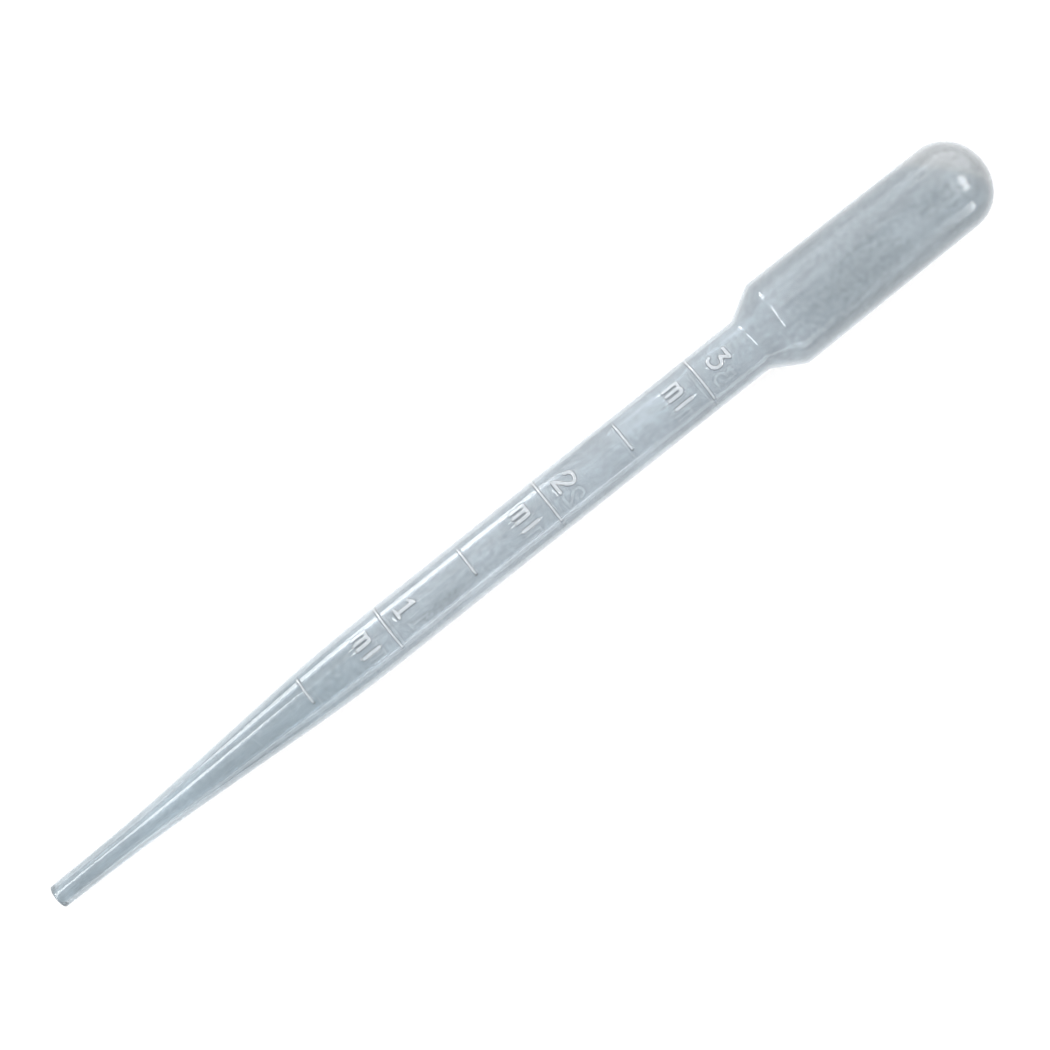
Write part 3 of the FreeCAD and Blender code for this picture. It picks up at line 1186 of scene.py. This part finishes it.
@dataclass(frozen=True)
class Lamp:
    """A soft lamp with a rectangular face.

    Attributes:
        name: Its name.
        place: Where it hangs, in metres.
        target: The spot that it faces, along and across the table, in metres.
        size: Its width and height, in metres.
        power: Its power, in watts.
        mirrored: Whether what shines mirrors it.
        target_height: How high above the table that spot lies, in metres.
    """

    name: str
    place: tuple[float, float, float]
    target: Point
    size: Point
    power: float
    mirrored: bool = True
    target_height: float = 0.006

    def hang(self) -> bpy.types.Object:
        """Hangs the lamp.

        Returns:
            The lamp.
        """
        light = bpy.data.lights.new(self.name, "AREA")
        light.shape = "RECTANGLE"
        light.size, light.size_y = self.size
        light.energy = self.power
        lamp = bpy.data.objects.new(self.name, light)
        place, target = Vector(self.place), Vector((*self.target, self.target_height))
        lamp.location = place
        lamp.visible_glossy = self.mirrored
        lamp.rotation_euler = (target - place).to_track_quat("-Z", "Y").to_euler()
        bpy.context.scene.collection.objects.link(lamp)
        return lamp


@dataclass
class Studio:
    """The table, the lamps and the camera.

    Left and right are as seen from above with the bulb up. The strips and panels face straight across the
    pipette, so that the ends of what the wall mirrors run square to it.

    Attributes:
        reach: How wide the table is, in metres.
        paper: The colour of the table as a surface.
        glow: The share of plain white in it where it is seen, mirrored or shown.
        sky: The colour of the surroundings.
        sky_strength: How brightly the surroundings light the table.
        lamps: The lamps.
        heading: How far the pipette is turned in the view, in degrees.
        distance: How far the camera hangs from the pipette's axis, in metres.
        view_width: The width of the view at that distance, in metres.
        marks_aside: How far the marks are turned aside from the camera, in degrees.
        ahead: How far toward the bulb's end the view's middle lies, in metres.
        sensor: The width of the camera's sensor, in millimetres.
        near: How close the camera sees, in metres.
    """

    reach: float = 6.0
    paper: Colour = (0.86, 0.86, 0.86, 1.0)
    glow: float = 0.88
    sky: Colour = (0.93, 0.96, 1.0, 1.0)
    sky_strength: float = 0.55
    lamps: tuple[Lamp, ...] = (
        Lamp("overhead", (-0.2, 0.15, 0.7), (0.0, 0.0), (0.5, 0.5), 2.0, mirrored=False),
        Lamp("left_fill", (0.0, 0.45, 0.1), (0.0, 0.0), (0.9, 0.15), 1.0, mirrored=False),
        Lamp("left_strip", (-0.08, 0.42, 0.07), (-0.08, 0.0), (0.18, 0.14), 0.6),
        Lamp("left_panel", (0.2, 0.43, 0.09), (0.2, 0.0), (0.96, 0.18), 0.5),
        Lamp("left_high", (0.1, 0.45, 0.46), (0.1, 0.0), (1.3, 0.5), 1.7),
        Lamp("right_strip", (-0.073, -0.45, 0.165), (-0.073, 0.0), (0.234, 0.03), 0.12),
        Lamp("right_panel", (-0.12, -0.46, 0.075), (-0.12, 0.0), (0.48, 0.15), 0.4),
        Lamp("tip_end", (-0.5, 0.18, 0.7), (0.0, 0.0), (0.9, 0.2), 5.0),
        Lamp("bulb_end", (0.39, -0.185, 0.61), (0.07, -0.185), (0.48, 0.22), 3.0),
        Lamp("bulb_right", (0.211, -0.44, 0.13), (0.211, 0.0), (0.04, 0.2), 0.24),
        Lamp("bulb_left", (0.55, 0.42, 0.25), (0.07, 0.0), (0.9, 0.5), 1.6),
    )
    heading: float = 38.57
    distance: float = 0.3
    view_width: float = 0.1379
    marks_aside: float = 17.0
    ahead: float = 0.0009
    sensor: float = 36.0
    near: float = 0.01

    def table(self) -> bpy.types.Object:
        """Makes the white table, which keeps the shadow of what lies on it.

        Returns:
            The table.
        """
        low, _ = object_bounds()
        half = self.reach / 2
        corners = [Vector((x * half, y * half, low.z)) for x, y in ((-1, -1), (1, -1), (1, 1), (-1, 1))]
        mesh = bpy.data.meshes.new("table")
        mesh.from_pydata(corners, [], [(0, 1, 2, 3)])
        table = bpy.data.objects.new("table", mesh)
        bpy.context.scene.collection.objects.link(table)
        mesh.materials.append(self.table_material())
        table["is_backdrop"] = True
        return table

    def table_material(self) -> bpy.types.Material:
        """Makes the table's white: bright where it is seen, mirrored or shown, and plain to the lamps.

        Returns:
            The material.
        """
        material = bpy.data.materials.new("white_table")
        material.use_nodes = True
        nodes = Nodes(material.node_tree)
        material.node_tree.nodes.clear()
        paper = nodes.add("ShaderNodeBsdfDiffuse", Color=self.paper)
        glow = nodes.add("ShaderNodeEmission", Color=(1.0, 1.0, 1.0, 1.0), Strength=1.0)
        share = nodes.math("MULTIPLY", self.seen(nodes), self.glow)
        surface = nodes.add("ShaderNodeMixShader", _0=share, _1=paper, _2=glow)
        nodes.add("ShaderNodeOutputMaterial", Surface=surface)
        return material

    def seen(self, nodes: Nodes) -> bpy.types.Node:
        """Adds a mask that is full where a surface is seen, mirrored or shown through the wall.

        Args:
            nodes: The nodes that the mask goes into.

        Returns:
            The mask.
        """
        path = nodes.add("ShaderNodeLightPath").outputs
        direct = nodes.math("MAXIMUM", path["Is Camera Ray"], path["Is Glossy Ray"])
        return nodes.math("MAXIMUM", direct, path["Is Transmission Ray"])

    def light(self) -> None:
        """Hangs the lamps, and lights the surroundings, which are white where they are seen."""
        for lamp in self.lamps:
            lamp.hang()
        world = bpy.data.worlds.new("studio")
        bpy.context.scene.world = world
        world.use_nodes = True
        nodes = Nodes(world.node_tree)
        world.node_tree.nodes.clear()
        strength = nodes.math("MULTIPLY_ADD", self.seen(nodes), 1.0 - self.sky_strength, self.sky_strength)
        background = nodes.add("ShaderNodeBackground", Color=self.sky, Strength=strength)
        nodes.add("ShaderNodeOutputWorld", Surface=background)

    def camera(self, moulding: Moulding) -> bpy.types.Object:
        """Hangs the camera over the pipette, square to its axis, with the bulb at the upper right.

        Args:
            moulding: The pipette.

        Returns:
            The camera.
        """
        along = moulding.axis
        side = math.radians(moulding.rolled + self.marks_aside)
        toward = Vector((-along.z, 0.0, along.x)) * math.cos(side) - Vector((0.0, math.sin(side), 0.0))
        left = toward.cross(along)
        turn = math.radians(self.heading)
        right = along * math.cos(turn) - left * math.sin(turn)
        up = along * math.sin(turn) + left * math.cos(turn)
        middle = moulding.mouth + along * (moulding.wall.end * MM / 2 + self.ahead)
        data = bpy.data.cameras.new("camera")
        data.sensor_width = self.sensor
        data.lens = self.sensor * self.distance / self.view_width
        data.clip_start = self.near
        camera = bpy.data.objects.new("camera", data)
        camera.location = middle + toward * self.distance
        camera.rotation_euler = Matrix((right, up, toward)).transposed().to_euler()
        bpy.context.scene.collection.objects.link(camera)
        bpy.context.scene.camera = camera
        return camera

    def build(self, moulding: Moulding) -> None:
        """Sets up the table, the lamps and the camera.

        Args:
            moulding: The pipette.
        """
        self.table()
        self.light()
        self.camera(moulding)
        bpy.context.scene.view_settings.view_transform = "Standard"


def main() -> None:
    """Builds the moulding and the studio."""
    logging.basicConfig(level=logging.INFO, format="%(name)s: %(message)s")
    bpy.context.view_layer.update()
    moulding = Moulding()
    piece = moulding.build()
    log.info("%s: %d vertices, %d faces", piece.name, len(piece.data.vertices), len(piece.data.polygons))
    Studio().build(moulding)
    log.info("studio ready")


if __name__ == "__main__":
    main()
